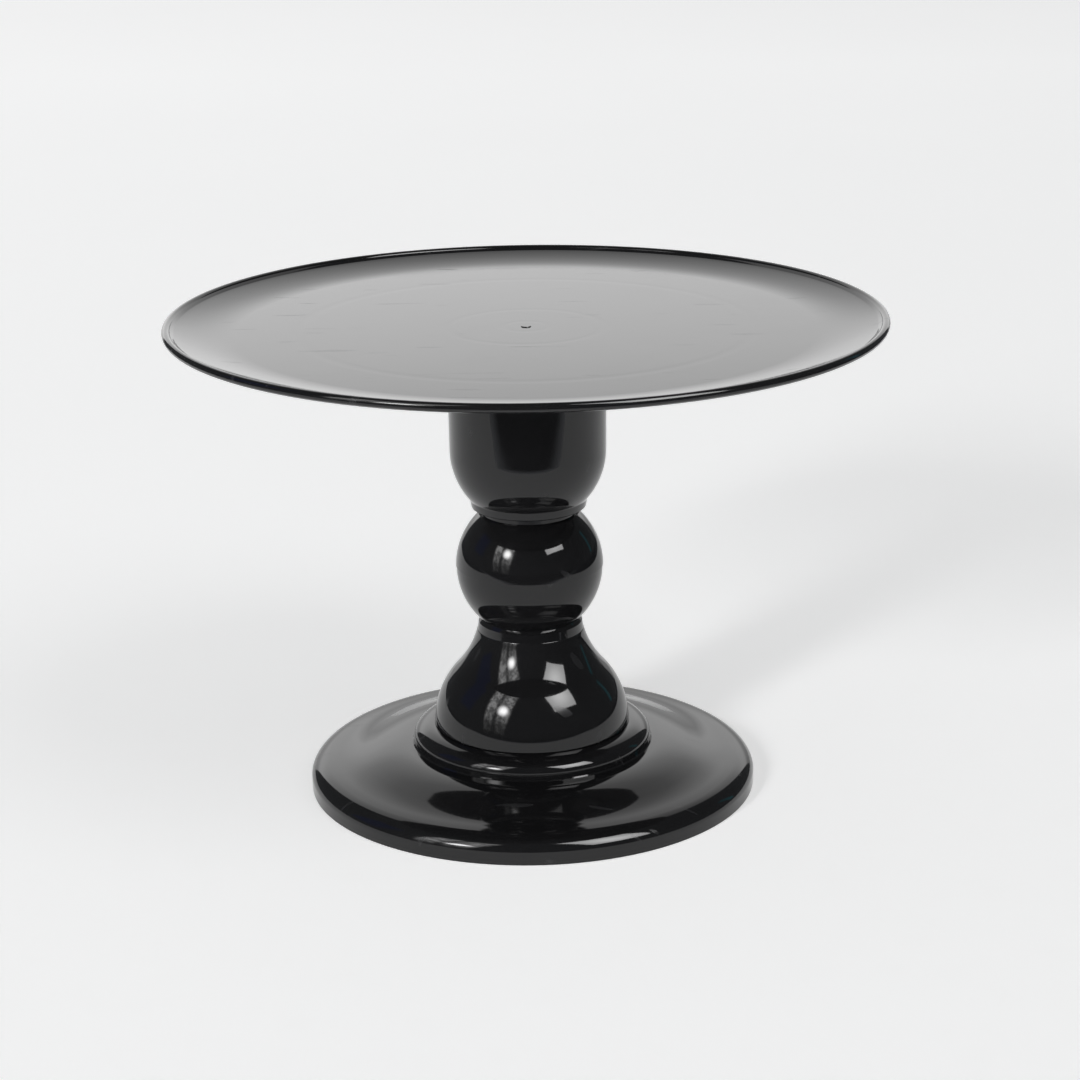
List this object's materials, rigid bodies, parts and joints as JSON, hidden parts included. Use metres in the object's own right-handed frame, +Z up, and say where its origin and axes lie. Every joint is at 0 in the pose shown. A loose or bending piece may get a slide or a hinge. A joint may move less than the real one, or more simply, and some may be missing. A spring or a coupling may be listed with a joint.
{
  "type": "cake stand",
  "caption": "Round dished plate on a turned column of stacked hollow mouldings and a low domed foot, drawn together by a tie rod and a wing nut.",
  "frame": {"origin": "centre of the base's underside, on the surface that the stand stands on", "axes": "+Z up along the column's axis; the stand is round, so X and Y are free"},
  "size_m": [0.32, 0.32, 0.2193],
  "materials": {
    "black_plastic": "glossy moulded polystyrene with fine handling scratches",
    "zinc_steel": "bright zinc plate",
    "brass": "turned brass"
  },
  "bodies": {
    "stand": {"plate": "black_plastic", "plate_insert": "brass", "cup": "black_plastic", "ball_upper": "black_plastic", "ball_lower": "black_plastic", "bell": "black_plastic", "base": "black_plastic", "tie_rod": "zinc_steel"},
    "washers": {"flat_washer": "zinc_steel", "lock_washer": "zinc_steel"},
    "nut": {"wing_nut": "zinc_steel"}
  },
  "joints": [
    {"name": "washer_drop", "type": "slide", "parent": "stand", "child": "washers", "axis": [0, 0, -1], "range_m": [0, 0.006]},
    {"name": "nut_turn", "type": "hinge", "parent": "washers", "child": "nut", "pos_m": [0, 0, 0.014], "axis": [0, 0, -1], "range_deg": [0, 2160]}
  ],
  "couplings": [
    {"joint": "washer_drop", "follows": "nut_turn", "m_per_rad": 0.00015915}
  ]
}
